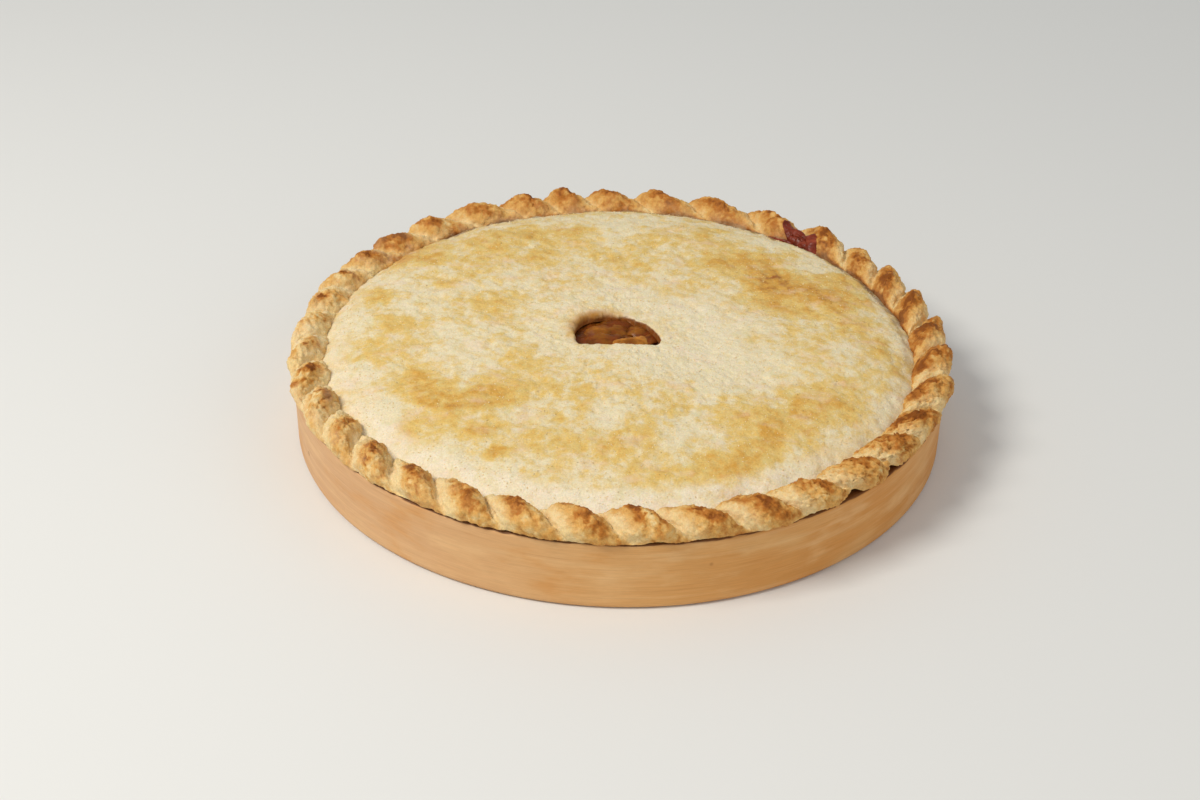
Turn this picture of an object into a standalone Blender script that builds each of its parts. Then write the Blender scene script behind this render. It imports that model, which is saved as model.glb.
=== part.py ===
"""A whole apple pie in its round wooden dish, standing on z = 0 with the dish's centre at the origin.

Metres, +Z up; -Y is the front. From the outside in: the turned wooden dish, the bottom crust
whose edge is crimped into a rope over the dish's rim, the apple filling, the top crust with its
steam vent, and a patch of juice that boiled over between two crimps of the rope.
"""

import math
import random

import bmesh
import bpy
from mathutils import Vector

MM = 0.001
TAU = 2 * math.pi
GAP = 0.3 * MM  # between pieces that touch
COLUMNS = 60  # flats round every turned wall

# The wooden dish
DISH_RADIUS = 122 * MM
DISH_HEIGHT = 26.5 * MM
DISH_WALL = 4.5 * MM
DISH_FLOOR = 5 * MM
DISH_FOOT_ROUND = 2.2 * MM
DISH_LIP_ROUND = 1.2 * MM
DISH_CORNER_ROUND = 6 * MM  # inside, between floor and wall

# The bottom crust, up to the dish's rim
CRUST = 4 * MM
CASE_RADIUS = DISH_RADIUS - DISH_WALL - GAP
CASE_BOTTOM = DISH_FLOOR + GAP
CASE_TOP = DISH_HEIGHT + 1.2 * GAP

# The rope: the crust's edge, folded over the rim and pinched into slanting crimps
CRIMPS = 36
ROPE_RADIUS = 116.8 * MM  # of the rope's centre line
ROPE_Z = 28.6 * MM
ROPE_TUCK = math.radians(101)  # how far each side curls under, from straight up
ROPE_HEIGHT = 2.4 * MM  # in a pinch, above ROPE_Z
ROPE_INNER = 6.3 * MM
ROPE_OUTER = 5.6 * MM
CREST_RISE = 6.0 * MM  # how much a crest adds to each of those
CREST_INNER = 0.4 * MM
CREST_OUTER = 2.0 * MM
CREST_LEAN = 1.4 * MM  # how far the top of a crest leans outwards
CREST_POWER = 0.93  # lower is fuller, with a narrower pinch
POWER_SWING = 0.17  # how much fuller the crests are on one side of the pie, and sharper opposite
FULLER_TOWARDS = math.radians(-60)
CREST_FADE = 0.5  # share of its rise that a crest has left at the inner edge
CREST_FULL = -0.3  # the side from which, outwards, a crest has all of its rise
HEM_FROM = 0.55  # the side from which, outwards, crests and pinches come down to one even hem
HEM_Z = 27.4 * MM
CRIMP_SLANT = math.radians(4.6)  # a crest is this far round by the time it gets to either side
CRIMP_LEAN = 0.14  # a crest's place, in crimps past the middle between two pinches
CRIMP_UNEVEN = 0.13
CRIMP_STEPS = (-0.5, -0.36, -0.2, -0.04, 0.12, 0.26, 0.39)  # where a crimp is measured, in crimps
ROPE_ROWS = 10
TUCK_SHARE = 0.55  # of the way from the case to the rope's outer edge, where it lies on the rim
FIRST_CRIMP = math.radians(-174.1)
SPREAD = math.radians(4.95)  # the pinches are wider apart on the right than on the left
SPREAD_TOWARDS = math.radians(27.8)
SWAY = math.radians(1.4)
SWAY_TOWARDS = math.radians(98.7)
NUDGES = ((48, 21, -4.5), (109, 14, -3.2))  # crimps off their place: where, how widely, how far, in degrees
SHALLOW_AT = math.radians(152)  # the pinches are shallow about here, at the back left
SHALLOW_WIDTH = math.radians(36)
SHALLOW_LOSS = 0.45  # share of their rise that the crests lose there
SHALLOW_FILL = 1.7 * MM  # how much higher the pinches are there

# The top crust
LID_RADIUS = 109.7 * MM
LID_THICKNESS = 3.7 * MM
LID_EDGE_LOW = CASE_TOP
LID_EDGE_HIGH = 29.6 * MM
LID_MIDDLE = 36.9 * MM
TOP_CURVE = (7, 0.7)  # how far out it stays level, and how squarely it then turns down
UNDER_CURVE = (6, 0.6)
LUMPS = 17  # pieces of apple that lift the top crust
LUMP_HEIGHT = 1.15 * MM
LUMP_WIDTH = 17 * MM
LUMP_REACH = 0.88 * LID_RADIUS
LUMPS_FADE = 0.8  # share of the radius from which they die out
GOLDEN_TURN = math.pi * (3 - math.sqrt(5))
VENT_HALF_WIDTH = 15.9 * MM
VENT_HALF_DEPTH = 16.3 * MM
VENT_CENTRE = (-0.9 * MM, -7 * MM)
VENT_SKEW = 0.21  # how far its back leans to the left, for each step back
VENT_FRONT = -13 * MM  # the straight front edge
VENT_CORNERS = 12  # higher is sharper
VENT_REACH = 15 * MM  # the vent's outline counts as the ring of this radius
VENT_SOFT = 1.5 * MM  # rounding of the vent's upper edge
VENT_SOFT_TURNS = (0, 45, 90)  # degrees round that rounding
ROUND_FROM = 44 * MM  # rings from here out are circles
LID_TOP_RINGS = tuple(r * MM for r in (21, 32, 45, 59, 73, 85, 94, 101, 105.4, 107.9))
LID_UNDER_RINGS = tuple(r * MM for r in (25, 45, 67, 86, 98, 105))

# The filling
VENT_RINGS = (0.87, 0.7, 0.52, 0.34, 0.16)  # shares of the vent's outline
SLICES = 4  # of apple, that show in the vent
SLICE_LENGTH = 12 * MM
SLICE_WIDTH = 4.1 * MM
SLICE_RISE = 1.8 * MM
SLICE_UNEVEN = 0.3
SLICE_SHIFT = 2.5 * MM  # how far a slice lies to one side of the vent's middle, at most
SLICE_PITCH = 5.4 * MM
SLICES_MIDDLE = -1.8 * MM  # where the middle of them all lies, from front to back
SLICE_BEARING = math.radians(12)
SYRUP_LEVEL = -0.6 * MM  # against the top crust's underside

# The juice that boiled over, in a pinch at the back right
JUICE_MIDDLE = 22.62  # counted in crimps from the first
JUICE_COLUMNS = 6
JUICE_FIRST_ROW = 2  # of the rope's rows, counted from its inner edge
JUICE_ROWS = 5
JUICE_THICKNESS = 1.3 * MM
JUICE_EDGE = 0.35 * MM
JUICE_CLEAR = 0.4 * MM  # above the rope's own faces

chance = random.Random(11)
crimp_sizes = [1 + CRIMP_UNEVEN * chance.uniform(-1, 1) for _ in range(CRIMPS)]
lump_heights = [LUMP_HEIGHT * chance.uniform(-1, 1) for _ in range(LUMPS)]
slice_shifts = [SLICE_SHIFT * chance.uniform(-1, 1) for _ in range(SLICES)]
slice_rises = [SLICE_RISE * (1 + SLICE_UNEVEN * chance.uniform(-1, 1)) for _ in range(SLICES)]


def clear_scene():
    for obj in list(bpy.data.objects):
        bpy.data.objects.remove(obj, do_unlink=True)


def mix(a, b, share):
    return a + (b - a) * share


def smooth(share):
    share = min(max(share, 0.0), 1.0)
    return share * share * (3 - 2 * share)


def polar(radius, bearing, z):
    return (radius * math.cos(bearing), radius * math.sin(bearing), z)


def material(name, colour, roughness, metallic=0.0):
    made = bpy.data.materials.new(name)
    made.use_nodes = True
    shader = made.node_tree.nodes["Principled BSDF"]
    shader.inputs["Base Color"].default_value = (*colour, 1)
    shader.inputs["Roughness"].default_value = roughness
    shader.inputs["Metallic"].default_value = metallic
    made.diffuse_color = (*colour, 1)
    return made


def piece(name, bm, finish, parent):
    """The finished object: faces out, round parts smooth, parented to the pie's empty."""
    bmesh.ops.recalc_face_normals(bm, faces=bm.faces)
    mesh = bpy.data.meshes.new(name)
    bm.to_mesh(mesh)
    bm.free()
    mesh.materials.append(finish)
    mesh.shade_smooth()
    mesh.set_sharp_from_angle(angle=math.radians(40))
    made = bpy.data.objects.new(name, mesh)
    bpy.context.scene.collection.objects.link(made)
    made.parent = parent
    return made


def arc(centre_r, centre_z, radius, start, end, steps):
    """Points of a profile's round corner, with angles in degrees from straight out."""
    turns = [math.radians(mix(start, end, i / steps)) for i in range(steps + 1)]
    return [(centre_r + radius * math.cos(t), centre_z + radius * math.sin(t)) for t in turns]


def ring(bm, radius_at, z_at, count=COLUMNS):
    """One closed ring of points. Radius and height are each a number, or a rule."""
    made = []
    for i in range(count):
        bearing = TAU * i / count
        radius = radius_at(bearing) if callable(radius_at) else radius_at
        place = polar(radius, bearing, 0)
        z = z_at(place[0], place[1]) if callable(z_at) else z_at
        made.append(bm.verts.new((place[0], place[1], z)))
    return made


def bearing_of(vert):
    return math.atan2(vert.co.y, vert.co.x) % TAU


def from_east(points):
    """The ring turned round to start at its first point past +X."""
    first = min(range(len(points)), key=lambda i: bearing_of(points[i]))
    return points[first:] + points[:first]


def join_rings(bm, a, b):
    """Faces between two rings. Where their counts differ, the one that lags is stepped along."""
    if len(a) == len(b):
        for i in range(len(a)):
            after = (i + 1) % len(a)
            bm.faces.new((a[i], a[after], b[after], b[i]))
        return
    a, b = from_east(a), from_east(b)
    ends_a = [bearing_of(v) for v in a[1:]] + [bearing_of(a[0]) + TAU]
    ends_b = [bearing_of(v) for v in b[1:]] + [bearing_of(b[0]) + TAU]
    i = j = 0
    while i < len(a) or j < len(b):
        step_a = j == len(b) or (i < len(a) and ends_a[i] <= ends_b[j])
        here_a, here_b = a[i % len(a)], b[j % len(b)]
        if step_a:
            bm.faces.new((here_a, a[(i + 1) % len(a)], here_b))
            i += 1
        else:
            bm.faces.new((here_a, b[(j + 1) % len(b)], here_b))
            j += 1


def join_all(bm, rings):
    for a, b in zip(rings, rings[1:]):
        join_rings(bm, a, b)


def close_ring(bm, points, z):
    """A fan from the ring to a point on the axis."""
    middle = bm.verts.new((0, 0, z))
    for i, here in enumerate(points):
        bm.faces.new((here, points[(i + 1) % len(points)], middle))


def dish_profile():
    """Half of the dish's section, from the axis underneath, round the wall, to the axis above."""
    inside = DISH_RADIUS - DISH_WALL
    foot, lip, corner = DISH_FOOT_ROUND, DISH_LIP_ROUND, DISH_CORNER_ROUND
    points = [(0, 0)]
    points += arc(DISH_RADIUS - foot, foot, foot, -90, 0, 2)
    points += arc(DISH_RADIUS - lip, DISH_HEIGHT - lip, lip, 0, 90, 2)
    points += arc(inside + lip, DISH_HEIGHT - lip, lip, 90, 180, 2)
    points += arc(inside - corner, DISH_FLOOR + corner, corner, 0, -90, 3)
    return points + [(0, DISH_FLOOR)]


def make_dish(finish, parent):
    """The section turned once round the axis."""
    bm = bmesh.new()
    verts = [bm.verts.new((r, 0, z)) for r, z in dish_profile()]
    edges = [bm.edges.new(pair) for pair in zip(verts, verts[1:])]
    bmesh.ops.spin(
        bm, geom=verts + edges, cent=(0, 0, 0), axis=(0, 0, 1), angle=TAU,
        steps=COLUMNS, use_merge=True, use_duplicate=False,
    )
    bmesh.ops.remove_doubles(bm, verts=bm.verts, dist=0.001 * MM)
    return piece("dish", bm, finish, parent)


def near(turn, towards, width):
    """1 at one bearing, and less the farther the turn is from it, either way."""
    apart = (turn - towards + math.pi) % TAU - math.pi
    return math.exp(-((apart / width) ** 2))


def crimp_bearing(turn):
    """Where a crimp lies, for its even share of the turn round the pie."""
    spread = SPREAD * math.sin(turn - SPREAD_TOWARDS) + SWAY * math.sin(2 * turn - SWAY_TOWARDS)
    for at, width, far in NUDGES:
        spread += math.radians(far) * near(turn, math.radians(at), math.radians(width))
    return turn + spread


def ridge(step):
    """0 in a pinch and 1 on a crest. The slope past the crest is the steeper one."""
    across = (step + 0.5) % 1 - 0.5
    leaned = across - CRIMP_LEAN * math.cos(math.pi * across) ** 2
    turn = FIRST_CRIMP + TAU * step / CRIMPS
    power = CREST_POWER - POWER_SWING * math.cos(turn - FULLER_TOWARDS)
    return abs(math.cos(math.pi * leaned)) ** power


def rope_point(step, side):
    """A point of the rope: step counts crimps round it, side runs from -1, inside, to 1, outside."""
    turn = FIRST_CRIMP + TAU * step / CRIMPS
    shallow = near(turn, SHALLOW_AT, SHALLOW_WIDTH)
    size = crimp_sizes[math.floor(step + 0.5) % CRIMPS] * (1 - SHALLOW_LOSS * shallow)
    rise = ridge(step) * size * mix(CREST_FADE, 1, smooth((side + 1) / (CREST_FULL + 1)))
    hem = smooth((side - HEM_FROM) / (1 - HEM_FROM))
    tilt = ROPE_TUCK * side
    if side < 0:
        width = ROPE_INNER + CREST_INNER * rise
    else:
        width = ROPE_OUTER + CREST_OUTER * rise * (1 - hem)
    bearing = crimp_bearing(turn + CRIMP_SLANT * side)
    radius = ROPE_RADIUS + width * math.sin(tilt) + CREST_LEAN * rise * math.cos(tilt)
    height = ROPE_HEIGHT + SHALLOW_FILL * shallow + CREST_RISE * rise
    return polar(radius, bearing, mix(ROPE_Z + height * math.cos(tilt), HEM_Z, hem))


def rope_steps():
    return [number + share for number in range(CRIMPS) for share in CRIMP_STEPS]


def make_bottom_crust(finish, parent):
    """Floor and wall inside the dish, with the rope along the top."""
    bm = bmesh.new()
    corner = DISH_CORNER_ROUND
    corner_r = DISH_RADIUS - DISH_WALL - corner
    corner_z = DISH_FLOOR + corner
    outside = [
        ring(bm, r, z) for r, z in arc(corner_r, corner_z, corner - GAP, -90, 0, 3)
    ]
    outside.append(ring(bm, CASE_RADIUS, CASE_TOP))
    inside = [ring(bm, CASE_RADIUS - CRUST, CASE_TOP - GAP)]
    round_in = corner - GAP - CRUST
    inside += [ring(bm, r, z) for r, z in arc(corner_r, corner_z, round_in, 0, -90, 2)]

    sides = [mix(-1, 1, row / (ROPE_ROWS - 1)) for row in range(ROPE_ROWS)]
    rows = [[bm.verts.new(rope_point(step, side)) for step in rope_steps()] for side in sides]
    tucked = []
    for edge in rows[-1]:
        radius = mix(CASE_RADIUS, math.hypot(edge.co.x, edge.co.y), TUCK_SHARE)
        tucked.append(bm.verts.new(polar(radius, bearing_of(edge), CASE_TOP)))

    close_ring(bm, outside[0], CASE_BOTTOM)
    join_all(bm, outside + [tucked] + rows[::-1] + inside)
    close_ring(bm, inside[-1], CASE_BOTTOM + CRUST)
    return piece("bottom_crust", bm, finish, parent)


def vent_radius(bearing):
    """The vent's outline: an ellipse that leans to the left, with its front cut straight across."""
    cx, cy = VENT_CENTRE
    dx = (math.cos(bearing) + VENT_SKEW * math.sin(bearing)) / VENT_HALF_WIDTH
    dy = math.sin(bearing) / VENT_HALF_DEPTH
    px, py = (cx + VENT_SKEW * cy) / VENT_HALF_WIDTH, cy / VENT_HALF_DEPTH
    a, b, c = dx * dx + dy * dy, dx * px + dy * py, px * px + py * py - 1
    round_part = (b + math.sqrt(b * b - a * c)) / a
    if math.sin(bearing) >= 0:
        return round_part
    straight = VENT_FRONT / math.sin(bearing)
    return (round_part**-VENT_CORNERS + straight**-VENT_CORNERS) ** (-1 / VENT_CORNERS)


def lid_radius(reach):
    """The rule of a ring round the vent: it follows the outline near it, and is a circle far out."""
    share = smooth((reach - VENT_REACH) / (ROUND_FROM - VENT_REACH))
    return lambda bearing: mix(vent_radius(bearing) + reach - VENT_REACH, reach, share)


def lumps(x, y):
    """The swells of the top crust over the apple pieces, which die out towards its edge."""
    total = 0.0
    for number, height in enumerate(lump_heights, start=1):
        cx, cy, _ = polar(LUMP_REACH * math.sqrt(number / LUMPS), GOLDEN_TURN * number, 0)
        total += height * math.exp(-((x - cx) ** 2 + (y - cy) ** 2) / LUMP_WIDTH**2)
    out = math.hypot(x, y) / LID_RADIUS
    return total * (1 - smooth((out - LUMPS_FADE) / (1 - LUMPS_FADE)))


def dome(x, y, edge, middle, curve):
    """A level middle that turns down to the edge, with the swells on it."""
    out = min(math.hypot(x, y) / LID_RADIUS, 1)
    flatness, turn = curve
    return edge + (middle - edge) * (1 - out**flatness) ** turn + lumps(x, y)


def lid_top(x, y):
    return dome(x, y, LID_EDGE_HIGH, LID_MIDDLE, TOP_CURVE)


def lid_under(x, y):
    return dome(x, y, LID_EDGE_LOW, LID_MIDDLE - LID_THICKNESS, UNDER_CURVE)


def make_top_crust(finish, parent):
    bm = bmesh.new()
    rings = [ring(bm, lid_radius(VENT_REACH), lid_under)]
    for turn in map(math.radians, VENT_SOFT_TURNS):
        reach = VENT_REACH + VENT_SOFT * (1 - math.cos(turn))
        drop = VENT_SOFT * (1 - math.sin(turn))
        rings.append(ring(bm, lid_radius(reach), lambda x, y, drop=drop: lid_top(x, y) - drop))
    rings += [ring(bm, lid_radius(reach), lid_top) for reach in LID_TOP_RINGS]
    rings.append(ring(bm, LID_RADIUS, LID_EDGE_HIGH))
    rings.append(ring(bm, LID_RADIUS, LID_EDGE_LOW))
    rings += [ring(bm, lid_radius(reach), lid_under) for reach in reversed(LID_UNDER_RINGS)]
    join_all(bm, rings + rings[:1])
    return piece("top_crust", bm, finish, parent)


def slices(x, y):
    """Height of the apple slices above the syrup: long rounded bars side by side in the vent."""
    back = y - SLICES_MIDDLE
    along = x * math.cos(SLICE_BEARING) + back * math.sin(SLICE_BEARING)
    across = back * math.cos(SLICE_BEARING) - x * math.sin(SLICE_BEARING)
    best = 0.0
    for i, (shift, rise) in enumerate(zip(slice_shifts, slice_rises)):
        u = (along - shift) / SLICE_LENGTH
        v = (across - SLICE_PITCH * (i - (SLICES - 1) / 2)) / SLICE_WIDTH
        best = max(best, rise * math.sqrt(max(0.0, 1 - u * u - v * v)))
    return best


def make_filling(finish, parent):
    """A full layer between the crusts, with slices showing in the vent."""
    bm = bmesh.new()
    corner_r = DISH_RADIUS - DISH_WALL - DISH_CORNER_ROUND
    corner_z = DISH_FLOOR + DISH_CORNER_ROUND
    round_out = DISH_CORNER_ROUND - CRUST - 2 * GAP
    wall = CASE_RADIUS - CRUST - GAP
    floor = CASE_BOTTOM + CRUST + GAP
    under = [ring(bm, r, z) for r, z in arc(corner_r, corner_z, round_out, -90, 0, 2)]
    under.append(ring(bm, wall, CASE_TOP - 2 * GAP))

    def below_lid(x, y):
        return lid_under(x, y) - GAP

    def in_vent(x, y):
        return lid_under(x, y) + SYRUP_LEVEL + slices(x, y)

    top = [ring(bm, LID_RADIUS, LID_EDGE_LOW - GAP)]
    top += [ring(bm, lid_radius(reach), below_lid) for reach in reversed(LID_UNDER_RINGS)]
    top.append(ring(bm, lid_radius(VENT_REACH), below_lid))
    for share in VENT_RINGS:
        top.append(ring(bm, lambda bearing, s=share: s * vent_radius(bearing), in_vent))

    close_ring(bm, under[0], floor)
    join_all(bm, under + top)
    close_ring(bm, top[-1], in_vent(0, 0))
    return piece("apple_filling", bm, finish, parent)


def rope_normal(steps, sides, i, j):
    """The rope's outward direction at one of its own points, from the points beside it."""
    def place(a, b):
        return Vector(rope_point(steps[a % len(steps)], sides[b]))

    along = place(i + 1, j) - place(i - 1, j)
    over = place(i, min(j + 1, len(sides) - 1)) - place(i, max(j - 1, 0))
    return over.cross(along).normalized()


def make_juice(finish, parent):
    """A sticky film on the inner face of one pinch, over the rope's own points."""
    bm = bmesh.new()
    steps = rope_steps()
    sides = [mix(-1, 1, row / (ROPE_ROWS - 1)) for row in range(ROPE_ROWS)]
    start = min(range(len(steps)), key=lambda i: abs(steps[i] - JUICE_MIDDLE)) - JUICE_COLUMNS // 2
    faces = {}
    for i in range(JUICE_COLUMNS):
        for j in range(JUICE_ROWS):
            row = JUICE_FIRST_ROW + j
            place = Vector(rope_point(steps[start + i], sides[row]))
            out = rope_normal(steps, sides, start + i, row)
            rim = i in (0, JUICE_COLUMNS - 1) or j in (0, JUICE_ROWS - 1)
            depth = JUICE_EDGE if rim else JUICE_THICKNESS
            faces[i, j, 0] = bm.verts.new(place + out * JUICE_CLEAR)
            faces[i, j, 1] = bm.verts.new(place + out * (JUICE_CLEAR + depth))
    last_i, last_j = JUICE_COLUMNS - 1, JUICE_ROWS - 1
    for i in range(last_i):
        for j in range(last_j):
            for level in (0, 1):
                corners = ((i, j), (i + 1, j), (i + 1, j + 1), (i, j + 1))
                bm.faces.new([faces[a, b, level] for a, b in corners])
    border = [(i, 0) for i in range(last_i)] + [(last_i, j) for j in range(last_j)]
    border += [(i, last_j) for i in range(last_i, 0, -1)] + [(0, j) for j in range(last_j, 0, -1)]
    for here, after in zip(border, border[1:] + border[:1]):
        corners = ((*here, 0), (*after, 0), (*after, 1), (*here, 1))
        bm.faces.new([faces[key] for key in corners])
    return piece("boiled_juice", bm, finish, parent)


def main():
    clear_scene()
    pie = bpy.data.objects.new("apple_pie", None)
    bpy.context.scene.collection.objects.link(pie)
    wood = material("wood", (0.62, 0.36, 0.17), 0.55)
    pastry = material("pastry", (0.78, 0.52, 0.24), 0.75)
    pale_pastry = material("pale_pastry", (0.86, 0.70, 0.42), 0.7)
    apple = material("baked_apple", (0.26, 0.09, 0.03), 0.25)
    juice = material("dark_juice", (0.20, 0.03, 0.02), 0.2)
    make_dish(wood, pie)
    make_bottom_crust(pastry, pie)
    make_filling(apple, pie)
    make_top_crust(pale_pastry, pie)
    make_juice(juice, pie)


main()
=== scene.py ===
# The looks of an apple pie in its wooden dish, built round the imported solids.
# Lengths are in metres, -Y is the front, and every piece stands where its solid does.
import math
import random
import bpy
import numpy as np
from mathutils import Matrix, Vector, noise


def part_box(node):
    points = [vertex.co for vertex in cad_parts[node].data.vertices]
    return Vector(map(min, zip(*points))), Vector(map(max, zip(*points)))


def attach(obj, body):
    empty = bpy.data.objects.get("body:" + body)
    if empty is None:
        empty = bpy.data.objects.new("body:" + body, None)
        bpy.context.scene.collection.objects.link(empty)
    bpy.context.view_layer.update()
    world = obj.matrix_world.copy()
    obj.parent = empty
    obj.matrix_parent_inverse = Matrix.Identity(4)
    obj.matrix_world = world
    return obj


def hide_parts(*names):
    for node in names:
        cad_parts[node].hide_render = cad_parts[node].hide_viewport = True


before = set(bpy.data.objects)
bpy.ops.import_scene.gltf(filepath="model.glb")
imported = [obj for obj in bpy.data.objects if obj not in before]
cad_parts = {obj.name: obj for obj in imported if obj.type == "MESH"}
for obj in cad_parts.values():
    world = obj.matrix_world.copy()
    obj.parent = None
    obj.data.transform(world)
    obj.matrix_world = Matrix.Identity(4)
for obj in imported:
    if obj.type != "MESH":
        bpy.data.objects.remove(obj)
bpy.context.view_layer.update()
mm = 0.001
fullTurn = 2 * math.pi

# Sizes that the solids give
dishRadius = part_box("dish")[1].x
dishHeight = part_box("dish")[1].z
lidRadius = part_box("top_crust")[1].x

bpy.context.scene.view_settings.view_transform = "Standard"


# Small helpers for numbers

def smooth(share):
    share = np.clip(share, 0, 1)
    return share * share * (3 - 2 * share)


def mix(a, b, share):
    return a + (b - a) * share


def bump(value, width):
    return np.exp(-((value / width) ** 2))


def polar(radius, bearing, z):
    return np.stack(np.broadcast_arrays(radius * np.cos(bearing), radius * np.sin(bearing), z), axis=-1)


def rough(points, size, octaves=3, shift=0.0):
    # uneven values about 0, whose swells are about that long
    places = (points.reshape(-1, 3) / size + shift).tolist()
    values = [noise.fractal(place, 0.9, 2.1, octaves) for place in places]
    return np.array(values).reshape(points.shape[:-1])


def turnedFrom(bearing, towards):
    # how far one bearing is from another, either way, in degrees
    apart = np.degrees(bearing) - towards
    return np.abs((apart + 180) % 360 - 180)


def strengthAt(bearing, places):
    # each place has its bearing, its width either way in degrees, and its strength
    return sum(strength * bump(turnedFrom(bearing, at), width) for at, width, strength in places)


def tint(red, green, blue):
    # a colour as seen on a screen, 0 to 255, as the shader wants it
    return tuple(((c / 255 + 0.055) / 1.055) ** 2.4 for c in (red, green, blue)) + (1.0,)


# Small helpers for meshes

def gridFaces(rows, columns, joinRows=False):
    # quads of a grid whose columns run right round; joinRows joins the last row to the first
    row = np.arange(rows if joinRows else rows - 1)[:, None]
    column = np.arange(columns)[None, :]
    nextRow = (row + 1) % rows
    nextColumn = (column + 1) % columns
    corners = np.broadcast_arrays(
        row * columns + column, row * columns + nextColumn,
        nextRow * columns + nextColumn, nextRow * columns + column,
    )
    return np.stack(corners, axis=-1).reshape(-1, 4)


def gridNormals(points):
    # the way each point of a grid faces; columns run right round
    along = np.roll(points, -1, axis=1) - np.roll(points, 1, axis=1)
    across = np.gradient(points, axis=0)
    facing = np.cross(along, across)
    return facing / np.maximum(np.linalg.norm(facing, axis=-1, keepdims=True), 1e-12)


def facesOut(points, faces):
    # the same faces, turned round if they enclose a negative volume
    flat = points.reshape(-1, 3)
    a, b, c, d = (flat[faces[:, i]] for i in range(4))
    volume = np.einsum("ij,ij->i", a, np.cross(b, c)).sum() + np.einsum("ij,ij->i", a, np.cross(c, d)).sum()
    return faces if volume > 0 else faces[:, ::-1]


def addPiece(name, points, faces, finish, replaced=(), masks=None, rounded=True):
    # faces are an array of quads, or a list of faces that point outwards already
    if isinstance(faces, np.ndarray):
        faces = facesOut(points, faces).tolist()
    mesh = bpy.data.meshes.new(name)
    mesh.from_pydata(points.reshape(-1, 3).tolist(), [], faces)
    for key, values in (masks or {}).items():
        held = mesh.attributes.new(key, "FLOAT", "POINT")
        held.data.foreach_set("value", np.ravel(values).astype(np.float32))
    mesh.materials.append(finish)
    if rounded:
        mesh.shade_smooth()
    made = bpy.data.objects.new(name, mesh)
    bpy.context.scene.collection.objects.link(made)
    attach(made, "root")
    if replaced:
        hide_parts(*replaced)


# Small helpers for materials

class Bench:
    # lays nodes in a tree and joins them
    def __init__(self, tree):
        self.tree = tree
        self.count = 0

    def feed(self, socket, value):
        if isinstance(value, bpy.types.NodeSocket):
            self.tree.links.new(value, socket)
        else:
            socket.default_value = value

    def add(self, kind, feeds=None, **settings):
        node = self.tree.nodes.new(kind)
        node.location = (200 * (self.count // 5) - 1800, -230 * (self.count % 5))
        self.count += 1
        for key, value in settings.items():
            setattr(node, key, value)
        for socket, value in (feeds or {}).items():
            self.feed(node.inputs[socket], value)
        return node

    def maths(self, operation, a, b=0.0, clamp=False):
        return self.add("ShaderNodeMath", {0: a, 1: b}, operation=operation, use_clamp=clamp).outputs[0]

    def blend(self, share, a, b, mode="MIX"):
        return self.add("ShaderNodeMix", {0: share, 6: a, 7: b}, data_type="RGBA", blend_type=mode).outputs[2]

    def between(self, value, low, high, toLow=0.0, toHigh=1.0):
        feeds = {"Value": value, "From Min": low, "From Max": high, "To Min": toLow, "To Max": toHigh}
        return self.add("ShaderNodeMapRange", feeds, interpolation_type="SMOOTHSTEP").outputs[0]

    def place(self):
        return self.add("ShaderNodeTexCoord").outputs["Object"]

    def mask(self, name):
        return self.add("ShaderNodeAttribute", attribute_name=name).outputs["Fac"]

    def scaled(self, place, size, stretch=(1, 1, 1)):
        factors = tuple(1 / (size * s) for s in stretch)
        return self.add("ShaderNodeVectorMath", {0: place, 1: factors}, operation="MULTIPLY").outputs[0]

    def swirl(self, place, size, detail=3.0, roughness=0.5, stretch=(1, 1, 1)):
        vector = self.scaled(place, size, stretch)
        feeds = {"Vector": vector, "Scale": 1.0, "Detail": detail, "Roughness": roughness}
        return self.add("ShaderNodeTexNoise", feeds).outputs[0]

    def dots(self, place, size):
        feeds = {"Vector": self.scaled(place, size), "Scale": 1.0}
        return self.add("ShaderNodeTexVoronoi", feeds).outputs["Distance"]


def newFinish(name, colour, roughness, **constants):
    # a material with its shader, whose plain values are set on the shader's own sockets
    made = bpy.data.materials.new(name)
    made.use_nodes = True
    shader = made.node_tree.nodes["Principled BSDF"]
    shader.inputs["Base Color"].default_value = colour
    shader.inputs["Roughness"].default_value = roughness
    for key, value in constants.items():
        shader.inputs[key.replace("_", " ")].default_value = value
    made.diffuse_color = colour
    return made, shader, Bench(made.node_tree)


def giveRelief(bench, shader, height, depth):
    relief = bench.add("ShaderNodeBump", {"Height": height, "Distance": depth, "Strength": 1.0})
    bench.tree.links.new(relief.outputs["Normal"], shader.inputs["Normal"])


# Baked dough, shared by the lid and the rope

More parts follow.
